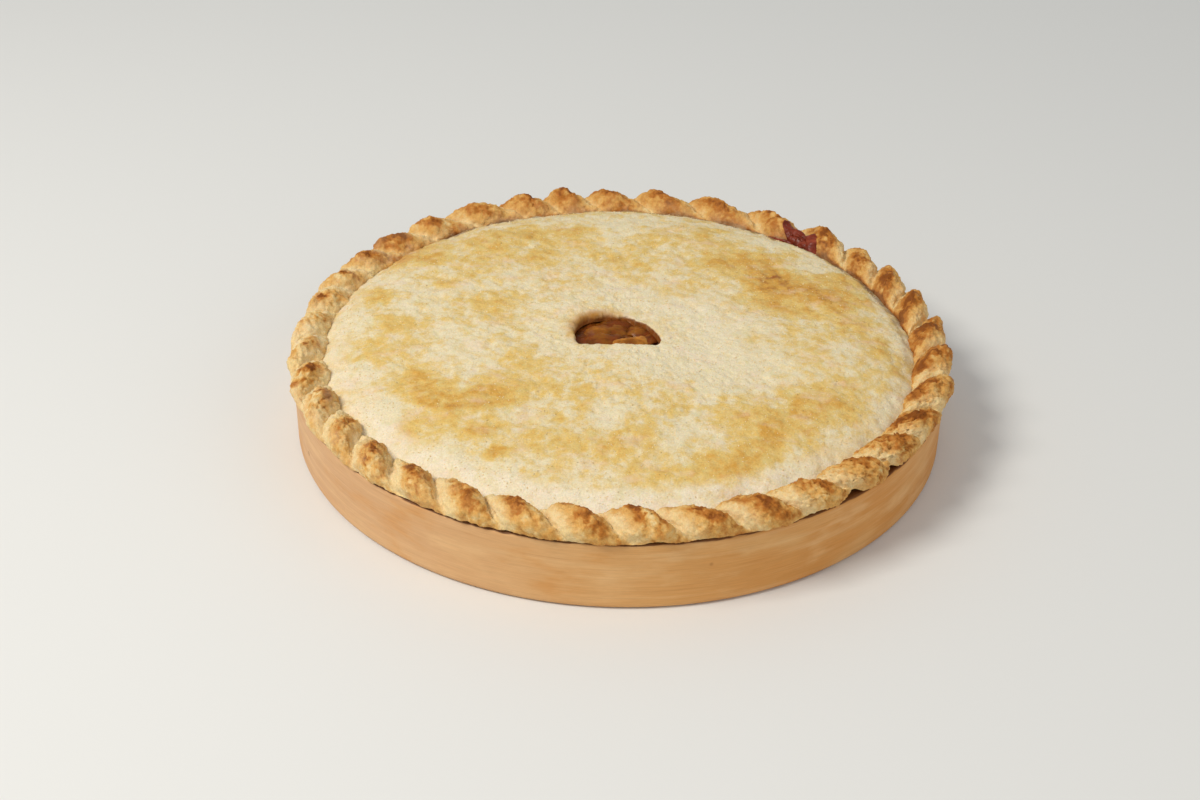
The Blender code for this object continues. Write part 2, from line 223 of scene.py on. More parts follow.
def makeBakedDough():
    tree = bpy.data.node_groups.new("bakedDough", "ShaderNodeTree")
    for name in ("Pale", "Golden", "Brown", "Scorched", "Flour"):
        tree.interface.new_socket(name, in_out="INPUT", socket_type="NodeSocketColor")
    for name in ("Toast", "Bloom", "Specks"):
        tree.interface.new_socket(name, in_out="INPUT", socket_type="NodeSocketFloat")
    tree.interface.new_socket("Color", in_out="OUTPUT", socket_type="NodeSocketColor")
    for name in ("Height", "Roughness"):
        tree.interface.new_socket(name, in_out="OUTPUT", socket_type="NodeSocketFloat")
    bench = Bench(tree)
    given = bench.add("NodeGroupInput").outputs
    place = bench.place()
    mottle = bench.swirl(place, 5.5 * mm, 5, 0.62)
    fine = bench.swirl(place, 1.5 * mm, 4, 0.6)
    crumb = bench.swirl(place, 0.6 * mm, 3, 0.55)
    patchy = bench.maths("MULTIPLY", bench.maths("SUBTRACT", mottle, 0.5), 0.85)
    grainy = bench.maths("MULTIPLY", bench.maths("SUBTRACT", fine, 0.5), 0.6)
    toast = bench.maths("ADD", given["Toast"], bench.maths("ADD", patchy, grainy))
    colour = bench.blend(bench.between(toast, 0.0, 0.55), given["Pale"], given["Golden"])
    colour = bench.blend(bench.between(toast, 0.45, 0.95), colour, given["Brown"])
    colour = bench.blend(bench.between(toast, 0.9, 1.35), colour, given["Scorched"])
    floury = bench.maths("MULTIPLY", given["Bloom"], bench.between(mottle, 0.3, 0.6), True)
    colour = bench.blend(floury, colour, given["Flour"])
    light = bench.between(crumb, 0.25, 0.75, 0.9, 1.08)
    colour = bench.blend(1.0, colour, light, "MULTIPLY")
    dotted = bench.between(bench.dots(place, 3.1 * mm), 0.05, 0.15, 1.0, 0.0)
    rare = bench.between(bench.swirl(place, 4.1 * mm, 1), 0.55, 0.6)
    specks = bench.maths("MULTIPLY", bench.maths("MULTIPLY", dotted, rare), given["Specks"], True)
    colour = bench.blend(specks, colour, bench.blend(1.0, colour, tint(150, 128, 104), "MULTIPLY"))
    height = bench.maths("ADD", bench.maths("MULTIPLY", mottle, 0.9), bench.maths("MULTIPLY", fine, 0.8))
    height = bench.maths("ADD", height, bench.maths("MULTIPLY", crumb, 0.45))
    dryness = bench.between(toast, 0.1, 1.0, 0.72, 0.5)
    bench.add("NodeGroupOutput", {"Color": colour, "Height": height, "Roughness": dryness})
    return tree


bakedDough = makeBakedDough()


def doughFinish(name, colours, specks, relief, flour, shine):
    # baked dough whose toast and bloom come from the mesh's own masks
    made, shader, bench = newFinish(
        name, colours["Pale"], 0.65, Subsurface_Weight=0.12, Subsurface_Radius=(1.0, 0.6, 0.3),
        Subsurface_Scale=1.2 * mm, Specular_IOR_Level=shine,
    )
    feeds = dict(colours, Flour=flour, Toast=bench.mask("toast"), Bloom=bench.mask("bloom"), Specks=specks)
    dough = bench.tree.nodes.new("ShaderNodeGroup")
    dough.node_tree = bakedDough
    dough.location = (-600, 200)
    for key, value in feeds.items():
        bench.feed(dough.inputs[key], value)
    bench.feed(shader.inputs["Roughness"], dough.outputs["Roughness"])
    giveRelief(bench, shader, dough.outputs["Height"], relief)
    return made, shader, bench, dough.outputs["Color"]


# The form rules that the solids were made by

chance = random.Random(11)
rope = {
    "crimps": 36, "radius": 116.8 * mm, "z": 28.6 * mm, "tuck": math.radians(101),
    "height": 2.4 * mm, "inner": 6.3 * mm, "outer": 5.6 * mm,
    "crestRise": 6.0 * mm, "crestInner": 0.4 * mm, "crestOuter": 2.0 * mm, "crestLean": 1.4 * mm,
    "crestPower": 0.93, "powerSwing": 0.17, "fullerTowards": math.radians(-60),
    "crestFade": 0.5, "crestFull": -0.3, "hemFrom": 0.55, "hemZ": 27.4 * mm,
    "slant": math.radians(4.6), "lean": 0.14, "first": math.radians(-174.1),
    "spread": math.radians(4.95), "spreadTowards": math.radians(27.8),
    "sway": math.radians(1.4), "swayTowards": math.radians(98.7),
    # crimps off their place: where, how widely either way and how far, in degrees
    "nudges": ((48, 21, -4.5), (109, 14, -3.2)),
    "shallowAt": 152, "shallowWidth": 36, "shallowLoss": 0.45, "shallowFill": 1.7 * mm,
}
rope["sizes"] = np.array([1 + 0.13 * chance.uniform(-1, 1) for _ in range(rope["crimps"])])

lid = {
    "edgeLow": dishHeight + 0.36 * mm, "edgeHigh": 29.6 * mm, "middle": 36.9 * mm, "thickness": 3.7 * mm,
    "topCurve": (7, 0.7), "underCurve": (6, 0.6),
    "lumpWidth": 17 * mm, "lumpReach": 0.88 * lidRadius, "lumpsFade": 0.8,
    "ventHalfWidth": 15.9 * mm, "ventHalfDepth": 16.3 * mm, "ventCentre": (-0.9 * mm, -7 * mm),
    "ventSkew": 0.21, "ventFront": -13 * mm, "ventCorners": 12, "ventReach": 15 * mm, "roundFrom": 44 * mm,
    # where the seam beside the rope is open: bearing, and width either way in degrees
    "openSeam": ((28, 26), (75, 30), (122, 12)),
}
lid["lumps"] = [1.15 * mm * chance.uniform(-1, 1) for _ in range(17)]


def crimpBearing(turn):
    spread = rope["spread"] * np.sin(turn - rope["spreadTowards"])
    spread = spread + rope["sway"] * np.sin(2 * turn - rope["swayTowards"])
    for at, width, far in rope["nudges"]:
        spread = spread + math.radians(far) * bump(turnedFrom(turn, at), width)
    return turn + spread


def crimpRidge(step):
    # 0 in a pinch and 1 on a crest
    across = (step + 0.5) % 1 - 0.5
    leaned = across - rope["lean"] * np.cos(np.pi * across) ** 2
    turn = rope["first"] + fullTurn * step / rope["crimps"]
    power = rope["crestPower"] - rope["powerSwing"] * np.cos(turn - rope["fullerTowards"])
    return np.abs(np.cos(np.pi * leaned)) ** power


def ropePoint(step, side):
    # step counts crimps round the rope, and side runs from -1, inside, to 1, outside
    turn = rope["first"] + fullTurn * step / rope["crimps"]
    shallow = bump(turnedFrom(turn, rope["shallowAt"]), rope["shallowWidth"])
    number = np.floor(step + 0.5).astype(int) % rope["crimps"]
    size = rope["sizes"][number] * (1 - rope["shallowLoss"] * shallow)
    rise = crimpRidge(step) * size * mix(rope["crestFade"], 1, smooth((side + 1) / (rope["crestFull"] + 1)))
    hem = smooth((side - rope["hemFrom"]) / (1 - rope["hemFrom"]))
    tilt = rope["tuck"] * side
    inner = rope["inner"] + rope["crestInner"] * rise
    outer = rope["outer"] + rope["crestOuter"] * rise * (1 - hem)
    bearing = crimpBearing(turn + rope["slant"] * side)
    radius = rope["radius"] + np.where(side < 0, inner, outer) * np.sin(tilt)
    radius = radius + rope["crestLean"] * rise * np.cos(tilt)
    height = rope["height"] + rope["shallowFill"] * shallow + rope["crestRise"] * rise
    return polar(radius, bearing, mix(rope["z"] + height * np.cos(tilt), rope["hemZ"], hem))


def ventRadius(bearing):
    # an ellipse that leans to the left, whose front is cut straight across
    cx, cy = lid["ventCentre"]
    dx = (np.cos(bearing) + lid["ventSkew"] * np.sin(bearing)) / lid["ventHalfWidth"]
    dy = np.sin(bearing) / lid["ventHalfDepth"]
    px, py = (cx + lid["ventSkew"] * cy) / lid["ventHalfWidth"], cy / lid["ventHalfDepth"]
    a, b, c = dx * dx + dy * dy, dx * px + dy * py, px * px + py * py - 1
    roundPart = (b + np.sqrt(b * b - a * c)) / a
    straight = lid["ventFront"] / np.minimum(np.sin(bearing), -1e-6)
    corners = lid["ventCorners"]
    cut = (roundPart**-corners + straight**-corners) ** (-1 / corners)
    return np.where(np.sin(bearing) < 0, cut, roundPart)


def ringRadius(reach, bearing):
    # a ring round the vent follows its outline, and far out it is a circle
    share = smooth((reach - lid["ventReach"]) / (lid["roundFrom"] - lid["ventReach"]))
    return mix(ventRadius(bearing) + reach - lid["ventReach"], reach, share)


def lidLumps(x, y):
    total = np.zeros(np.shape(x))
    goldenTurn = math.pi * (3 - math.sqrt(5))
    for number, height in enumerate(lid["lumps"], start=1):
        reach = lid["lumpReach"] * math.sqrt(number / len(lid["lumps"]))
        cx, cy = reach * math.cos(goldenTurn * number), reach * math.sin(goldenTurn * number)
        total += height * np.exp(-((x - cx) ** 2 + (y - cy) ** 2) / lid["lumpWidth"] ** 2)
    out = np.hypot(x, y) / lidRadius
    return total * (1 - smooth((out - lid["lumpsFade"]) / (1 - lid["lumpsFade"])))


def lidDome(x, y, edge, middle, curve):
    out = np.clip(np.hypot(x, y) / lidRadius, 0, 1)
    flatness, turn = curve
    return edge + (middle - edge) * (1 - out**flatness) ** turn + lidLumps(x, y)


def lidTop(x, y):
    return lidDome(x, y, lid["edgeHigh"], lid["middle"], lid["topCurve"])


def lidUnder(x, y):
    return lidDome(x, y, lid["edgeLow"], lid["middle"] - lid["thickness"], lid["underCurve"])


# The wooden dish

dish = {
    "wall": 4.5 * mm, "floor": 5 * mm, "footRound": 2.2 * mm, "lipRound": 1.2 * mm, "cornerRound": 6 * mm,
    "columns": 480, "wallRows": 26, "waviness": 0.12 * mm,
    "rosy": tint(212, 168, 124), "tan": tint(222, 172, 110), "orange": tint(208, 144, 72),
    # baked is the dark rim line: a baked-on stain, and also painted shade under the crust's hem
    "dark": tint(148, 88, 40), "pale": tint(236, 196, 142), "baked": tint(92, 46, 18),
}


def profileArc(centreR, centreZ, radius, start, end, steps):
    turns = np.radians(np.linspace(start, end, steps))
    return [(centreR + radius * math.cos(t), centreZ + radius * math.sin(t)) for t in turns]


def makeDish():
    inside = dishRadius - dish["wall"]
    foot, lip, corner = dish["footRound"], dish["lipRound"], dish["cornerRound"]
    wall = [(dishRadius, z) for z in np.linspace(foot, dishHeight - lip, dish["wallRows"])[1:-1]]
    profile = [(0.5 * mm, 0.0), (60 * mm, 0.0)]
    profile += profileArc(dishRadius - foot, foot, foot, -90, 0, 7) + wall
    profile += profileArc(dishRadius - lip, dishHeight - lip, lip, 0, 90, 12)
    profile += profileArc(inside + lip, dishHeight - lip, lip, 90, 180, 6)
    profile += profileArc(inside - corner, dish["floor"] + corner, corner, 0, -90, 8)
    profile += [(60 * mm, dish["floor"]), (0.5 * mm, dish["floor"])]
    radius, z = (np.array(values)[:, None] for values in zip(*profile))
    bearing = np.linspace(0, fullTurn, dish["columns"], endpoint=False)[None, :]
    points = polar(radius, bearing, z)
    # the wall was bent and sanded by hand, so it isn't quite true
    sway = dish["waviness"] * rough(points, 45 * mm, 2, 8.2)
    outward = points * (1, 1, 0) / np.maximum(radius, 1 * mm)[..., None]
    points = points + outward * (sway * (radius > 100 * mm))[..., None]
    # juice and butter baked a dark line into the rim, under the crust's edge; the line is also painted shade
    # from the hem above it
    lineFrom = 0.62 * mm + 0.35 * mm * rough(points, 5 * mm, 3, 3.9)
    stainAndShade = smooth((points[..., 2] - (dishHeight - lineFrom)) / (0.3 * mm)) * (radius > 100 * mm)
    return points, gridFaces(len(profile), dish["columns"], joinRows=True), {"stainAndShade": stainAndShade}


def woodFinish():
    made, shader, bench = newFinish("sandedWood", dish["tan"], 0.55, Specular_IOR_Level=0.25)
    place = bench.place()
    broad = bench.swirl(place, 46 * mm, 2, 0.5, (1, 1, 0.35))
    blotch = bench.swirl(place, 13 * mm, 4, 0.6, (2.2, 2.2, 0.8))
    bands = bench.swirl(place, 5 * mm, 3, 0.55, (12, 12, 0.6))
    lines = bench.swirl(place, 1.3 * mm, 4, 0.6, (26, 26, 0.42))
    fibre = bench.swirl(place, 0.5 * mm, 2, 0.5, (16, 16, 0.5))
    # painted light and shade: the wood is rosy on the left, where the light and its bounce fall, and more
    # orange towards the shaded right, over the wood's own broad figure
    across = bench.add("ShaderNodeSeparateXYZ", {0: place}).outputs["X"]
    colour = bench.blend(bench.between(across, -100 * mm, 30 * mm), dish["rosy"], dish["tan"])
    shadeTowardsRight = bench.between(across, -40 * mm, 90 * mm, 0.1, 1.0)
    orangeFigureAndShade = bench.maths("MULTIPLY", bench.between(broad, 0.3, 0.58), shadeTowardsRight)
    colour = bench.blend(orangeFigureAndShade, colour, dish["orange"])
    colour = bench.blend(bench.between(bands, 0.48, 0.72, 0.0, 0.3), colour, dish["pale"])
    colour = bench.blend(bench.between(blotch, 0.5, 0.72, 0.0, 0.55), colour, dish["orange"])
    colour = bench.blend(bench.between(blotch, 0.5, 0.3, 0.0, 0.35), colour, dish["pale"])
    colour = bench.blend(bench.between(lines, 0.55, 0.78, 0.0, 0.2), colour, dish["dark"])
    colour = bench.blend(1.0, colour, bench.between(fibre, 0.3, 0.7, 0.95, 1.04), "MULTIPLY")
    knots = bench.between(bench.dots(place, 21 * mm), 0.03, 0.06, 0.5, 0.0)
    colour = bench.blend(knots, colour, dish["dark"])
    # the rim under the crust's edge is painted dark: a baked-on stain and painted shade of the hem
    colour = bench.blend(bench.maths("MULTIPLY", bench.mask("stainAndShade"), 0.85), colour, dish["baked"])
    bench.feed(shader.inputs["Base Color"], colour)
    bench.feed(shader.inputs["Roughness"], bench.between(lines, 0.3, 0.7, 0.5, 0.64))
    height = bench.maths("ADD", bench.maths("MULTIPLY", lines, 0.7), bench.maths("MULTIPLY", fibre, 0.4))
    giveRelief(bench, shader, height, 0.1 * mm)
    return made


dishPoints, dishFaces, dishMasks = makeDish()
addPiece("turnedDish", dishPoints, dishFaces, woodFinish(), ["dish"], dishMasks)
print("dish made")


# The rope along the edge, and the crust that lines the dish

ropeLooks = {
    "stepsPerCrimp": 40, "rows": 58, "crust": 4 * mm, "gap": 0.3 * mm,
    "swell": 1.1 * mm, "lumpy": 0.8 * mm, "crumb": 0.4 * mm, "pits": 0.5 * mm, "crease": 0.6 * mm,
    "overlap": 1.2 * mm, "sheets": 4.5, "sheetDepth": 6.5 * mm, "cracks": 0.8 * mm,
    "hemGap": 0.75 * mm, "hemRagged": 0.45 * mm,
    # where the hem is off the dish's rim: bearing, width either way in degrees, and height in mm
    "liftedHem": (
        (-41, 2, 2.8), (-49.8, 2, 2.2), (-58, 2, 0.5), (172, 2.4, 1.7), (179, 1.8, 1.3), (-112, 16, 0.3),
    ),
    # where the oven was hotter or cooler: bearing, width either way in degrees, and how strongly
    "hotSides": (
        (8, 28, 0.16), (144, 5, 0.35), (148, 14, 0.08), (82, 44, 0.18), (-35, 16, 0.06),
        (-90, 40, 0.06), (190, 42, -0.38),
    ),
    # crests that stayed paler than the ones beside them, in the same way
    "paleCrests": ((-118, 4, 0.7), (-99, 4, 0.75), (-79, 3.5, 0.5), (-57, 6, 0.6), (-42, 4, 0.4)),
    "Pale": tint(233, 204, 146), "Golden": tint(220, 169, 94), "Brown": tint(184, 116, 46),
    "Scorched": tint(138, 78, 26), "Flour": tint(238, 214, 168),
}
ropeLooks["browning"] = np.array([chance.uniform(0.7, 1.2) for _ in range(rope["crimps"])])


def seamOpen(bearing):
    # 1 where the seam between the rope and the lid is open; painted shade darkens both sides of it there
    return np.clip(sum(bump(turnedFrom(bearing, at), width) for at, width in lid["openSeam"]), 0, 1)


def makeRope():
    looks = ropeLooks
    perCrimp = looks["stepsPerCrimp"]
    columns = rope["crimps"] * perCrimp
    step = (np.arange(columns) / perCrimp - 0.5)[None, :] + np.zeros((looks["rows"], 1))
    side = np.linspace(-1, 1, looks["rows"])[:, None] + np.zeros((1, columns))
    base = ropePoint(step, side)
    # no two crimps are pinched alike
    step = step + 0.07 * rough(base, 24 * mm, 2, 4.4)
    side = np.clip(side + 0.07 * rough(base, 12 * mm, 2, 9.1) * (1 - side**2), -1, 1)
    base = ropePoint(step, side)
    ridge = crimpRidge(step)
    phase = (step + 0.5) % 1 - 0.5
    fromPinch = 0.5 - np.abs(phase)
    upper = bump(side, 0.9)
    facing = gridNormals(base)
    if facing[looks["rows"] // 2, :, 2].mean() < 0:
        facing = -facing
    # thin sheets of dough lie along each crest, most of all at the front right
    bearing = np.arctan2(base[..., 1], base[..., 0])
    strands = np.stack([side * 9 * mm, phase * 52 * mm, np.floor(step + 0.5) * 31 * mm], axis=-1)
    field = rough(strands, 9 * mm, 3, 2.2)
    level = field * looks["sheets"]
    sheets = (np.floor(level) + smooth((level % 1) / 0.3)) / looks["sheets"] - field
    flaky = bump(turnedFrom(bearing, -40), 26) + 0.6 * bump(turnedFrom(bearing, -150), 30)
    sheets *= smooth(fromPinch / 0.14) * mix(0.35, 1, flaky)
    cracks = bump(rough(strands, 8 * mm, 2, 12.4), 0.06) * smooth(fromPinch / 0.1)
    cracks = cracks * mix(0.15, 1, flaky) * upper
    pits = smooth((rough(base, 2.8 * mm, 2, 7.1) - 0.22) / 0.16)
    relief = looks["swell"] * rough(base, 11 * mm, 2, 1.7)
    relief += looks["lumpy"] * rough(base, 4.2 * mm, 3, 6.3) * upper
    relief += looks["crumb"] * rough(base, 1.7 * mm, 2, 15.9) + looks["sheetDepth"] * sheets * upper
    relief -= looks["pits"] * pits * upper * mix(0.25, 1, ridge)
    relief -= looks["crease"] * bump(fromPinch, 0.05) * upper + looks["cracks"] * cracks
    closed = 1 - 0.8 * seamOpen(bearing)
    spill = 0.7 + 1.4 * rough(base, 6 * mm, 2, 51.0)
    relief += looks["overlap"] * closed * ridge * bump(side + 0.7, 0.3) * spill
    points = base + facing * relief[..., None]
    # the hem comes down towards the dish's rim, and stands off it in places
    lifted = strengthAt(bearing, looks["liftedHem"]) * mm
    drawnUp = lifted * smooth((side - 0.2) / 0.5)
    points[..., 2] += 0.8 * drawnUp
    points[..., :2] *= (1 - 0.75 * drawnUp / rope["radius"])[..., None]
    hemZ = dishHeight + looks["hemGap"] * (1 + 1.1 * rough(base, 7 * mm, 3, 7.5)) + lifted
    share = smooth((side - 0.78) / 0.22)
    points[..., 2] = mix(points[..., 2], np.maximum(hemZ, dishHeight + 0.2 * mm), share)
    points[..., 2] = np.maximum(points[..., 2], dishHeight + 0.2 * mm)
    ragged = share * looks["hemRagged"] * rough(base, 3.2 * mm, 3, 61.0)
    points[..., :2] *= (1 + ragged / rope["radius"])[..., None]
    masks = ropeMasks(side, ridge, step, bearing, points, sheets, pits, cracks)
    # underneath, back to the inner edge
    hemR = np.hypot(points[-1, :, 0], points[-1, :, 1])
    innerR = np.hypot(points[0, :, 0], points[0, :, 1])
    under = []
    for away in (0.08, 0.2, 0.45, 0.8):
        z = mix(points[-1, :, 2], dishHeight + 0.36 * mm, smooth(away / 0.4))
        under.append(polar(mix(hemR, innerR, away), bearing[-1], z))
    allPoints = np.concatenate([points, np.array(under)])
    # the underside is painted scorched: partly real browning, partly painted shade in the gap under the hem
    masks["toast"] = np.concatenate([masks["toast"], np.full((len(under), columns), 1.3)])
    masks["bloom"] = np.concatenate([masks["bloom"], np.zeros((len(under), columns))])
    return allPoints, gridFaces(len(allPoints), columns, joinRows=True), masks, gridNormals(points)


def ropeMasks(side, ridge, step, bearing, points, sheets, pits, cracks):
    # each crimp is pale past its pinch, brown along its crest and golden beyond
    hot = strengthAt(bearing, ropeLooks["hotSides"])
    crest = np.floor(step + 0.5).astype(int) % rope["crimps"]
    phase = (step + 0.5) % 1 - 0.5
    golden = smooth((phase + 0.44) / 0.34) * (1 - smooth((phase - 0.38) / 0.12))
    crownSide = -0.05 - 0.25 * bump(turnedFrom(bearing, 15), 40)
    crown = bump(phase - 0.1, 0.2) * bump(side - crownSide, 0.5) * ropeLooks["browning"][crest]
    crown *= 1 - strengthAt(bearing, ropeLooks["paleCrests"])
    farSide, leftSide = bump(turnedFrom(bearing, 95), 62), bump(turnedFrom(bearing, 185), 40)
    calm = 1 - 0.5 * farSide
    blotches = rough(points, 5.2 * mm, 3, 3.3)
    toast = 0.05 + 0.4 * golden + calm * crown * (0.54 + 1.25 * blotches) + hot
    toast += 0.32 * rough(points, 7.5 * mm, 3, 23.3) + 0.24 * calm * rough(points, 2.2 * mm, 2, 12.9)
    toast += 0.14 * smooth((side - 0.7) / 0.25) + 0.14 * farSide * (1 - golden)
    spots = smooth((rough(points, 2.2 * mm, 2, 77.0) - 0.18) / 0.2)
    # painted shade under the steps of the flaky sheets, and further down in the cracks
    toast += calm * 0.6 * spots * crown + 0.14 * pits * ridge + 1.2 * np.clip(-sheets, 0, 0.3) * ridge
    # painted shade on the rope's inner foot, along the open seam to the lid
    toast += 1.0 * bump(side + 0.8, 0.12) * seamOpen(bearing) + 0.55 * cracks
    bloom = 0.75 * (1 - golden) * bump(side - 0.05, 0.7) * np.clip(1 - 2.6 * hot, 0, 1) * (1 - 0.6 * farSide)
    bloom += leftSide * np.clip(0.45 + 0.9 * rough(points, 6 * mm, 2, 90.0), 0, 1) * (1 - crown)
    bloom += 0.4 * farSide * bump(side + 0.8, 0.3)
    return {"toast": toast, "bloom": np.clip(bloom, 0, 1)}


def makeCase():
    # floor and wall of the crust inside the dish
    gap, crust, corner = ropeLooks["gap"], ropeLooks["crust"], dish["cornerRound"]
    wallR = dishRadius - dish["wall"] - gap
    cornerR, cornerZ = dishRadius - dish["wall"] - corner, dish["floor"] + corner
    profile = [(0.5 * mm, dish["floor"] + gap)]
    profile += profileArc(cornerR, cornerZ, corner - gap, -90, 0, 6)
    profile += [(wallR, dishHeight + 0.4 * mm), (wallR - crust, dishHeight + 0.4 * mm)]
    profile += profileArc(cornerR, cornerZ, corner - gap - crust, 0, -90, 4)
    profile += [(0.5 * mm, dish["floor"] + gap + crust)]
    radius, z = (np.array(values)[:, None] for values in zip(*profile))
    columns = 144
    bearing = np.linspace(0, fullTurn, columns, endpoint=False)[None, :]
    return polar(radius, bearing, z), len(profile), columns


ropePoints, ropeFaces, ropeToast, ropeFacing = makeRope()
casePoints, caseRows, caseColumns = makeCase()
caseFaces = facesOut(casePoints, gridFaces(caseRows, caseColumns, joinRows=True))
ropeFaces = facesOut(ropePoints, ropeFaces)
ropeCount = ropePoints.shape[0] * ropePoints.shape[1]
crustPoints = np.concatenate([ropePoints.reshape(-1, 3), casePoints.reshape(-1, 3)])
caseBlank = np.zeros(caseRows * caseColumns)
crustMasks = {key: np.append(values, caseBlank) for key, values in ropeToast.items()}
ropeColours = {key: ropeLooks[key] for key in ("Pale", "Golden", "Brown", "Scorched")}
ropeFinish, ropeShader, ropeBench, ropeColour = doughFinish(
    "crimpedPastry", ropeColours, 0.3, 0.5 * mm, ropeLooks["Flour"], 0.12
)
ropeBench.feed(ropeShader.inputs["Base Color"], ropeColour)
addPiece(
    "crimpedCrust", crustPoints, np.concatenate([ropeFaces, caseFaces + ropeCount]), ropeFinish,
    ["bottom_crust"], crustMasks,
)
print("crimped crust made")


# The top crust

lidLooks = {
    "columns": 640, "spacing": (0.4 * mm, 0.88 * mm), "evenFrom": 36 * mm, "edgeFrom": 98 * mm,
    "edgeRows": 24, "wallRows": 6, "softRows": 7,
    "softFront": 0.6 * mm, "softBack": 2.3 * mm, "softTowards": 150, "raggedVent": 0.7 * mm,
    "swell": 0.6 * mm, "dimple": 0.42 * mm, "crumb": 0.22 * mm, "pocks": 0.35 * mm, "blister": 0.4 * mm,
    "tucked": 1.2 * mm,
    "Pale": tint(231, 217, 182), "Golden": tint(224, 190, 112), "Brown": tint(212, 160, 72),
    "Scorched": tint(162, 98, 40), "Flour": tint(238, 226, 202), "soaked": tint(146, 82, 26),
    "syrupy": tint(180, 124, 50), "blush": tint(234, 206, 186), "straw": tint(214, 200, 140),
    # the colour of the painted shade in the open seam beside the rope
    "seamShade": tint(112, 72, 36),
}

# Where the oven browned the lid: x and y from the middle, radius (all in mm), and how strongly
browned = (
    (50, 57, 9, 0.5), (54, 47, 11, 0.62), (62, 40, 10, 0.6), (70, 31, 13, 0.68), (60, 25, 9, 0.5),
    (82, 37, 9, 0.5), (92, 44, 8, 0.4), (84, 24, 10, 0.4), (76, 16, 8, 0.3), (94, 26, 6, 0.35),
    (67, -54, 9, 0.55), (62, -64, 10, 0.55), (52, -70, 9, 0.48), (76, -45, 8, 0.36), (80, -58, 9, 0.4),
    (44, -84, 9, 0.4), (30, -92, 9, 0.42), (12, -92, 10, 0.4), (-10, -76, 9, 0.34), (-18, -86, 9, 0.34),
    (-67, -50, 11, 0.46), (-55, -56, 11, 0.42), (-47, -46, 9, 0.34), (-70, -68, 8, 0.34), (-75, -38, 9, 0.32),
    (-41, -82, 4, 0.75), (-97, 25, 6, 0.45), (-70, 33, 5, 0.55), (-81, 2, 9, 0.3), (-90, -20, 7, 0.28),
    (-87, 60, 9, 0.88),
    (-38, 77, 8, 0.42), (-17, 76, 8, 0.42), (-55, 66, 10, 0.34), (-30, 57, 8, 0.28), (17, 70, 10, 0.34),
    (-5, 55, 9, 0.24), (-74, 52, 9, 0.34), (38, 76, 9, 0.3), (62, 62, 8, 0.28), (102, -24, 5, 0.5),
    (95, -8, 8, 0.3), (88, 4, 8, 0.3), (20, -46, 10, 0.24), (-30, -30, 10, 0.2), (-50, 10, 10, 0.22),
    (-60, 36, 3, 0.5), (-46, -70, 3, 0.5), (5, -70, 7, 0.26), (36, -62, 9, 0.26),
)
# and where it stayed pale
stayedPale = (
    (28, -10, 16, 0.5), (34, 8, 14, 0.4), (10, 24, 13, 0.35), (-16, 26, 12, 0.28), (-25, -14, 12, 0.26),
    (8, -24, 14, 0.36), (40, -30, 14, 0.36), (-84, -60, 16, 0.5), (-96, -34, 10, 0.4), (-60, -86, 14, 0.5),
    (-20, -102, 14, 0.5), (50, -38, 10, 0.2), (-98, 2, 7, 0.4), (88, -62, 9, 0.3), (62, -88, 8, 0.3),
)
# and where flour lay in the middle
flouredMiddle = ((26, -6, 22, 0.8), (30, 14, 14, 0.6), (0, 22, 16, 0.5), (-18, 8, 10, 0.4))


def patches(points, places):
    # soft round patches that run together without getting stronger than the strongest
    left = np.ones(points.shape[:-1])
    for x, y, radius, strength in places:
        away = np.hypot(points[..., 0] / mm - x, points[..., 1] / mm - y)
        left *= 1 - strength * bump(away, radius)
    return 1 - left


def lidToast(points):
    drift = np.stack([rough(points, 11 * mm, 3, 21.0), rough(points, 11 * mm, 3, 37.0)], axis=-1)
    moved = points.copy()
    moved[..., :2] += 5 * mm * drift
    # the oven browned it a little more towards the left
    toast = 0.24 - 0.06 * points[..., 0] / lidRadius
    toast += 0.95 * patches(moved, browned) - 0.52 * patches(moved, stayedPale)
    toast += 0.3 * rough(points, 17 * mm, 4, 14.2) + 0.26 * rough(points, 3.6 * mm, 3, 2.6)
    return toast


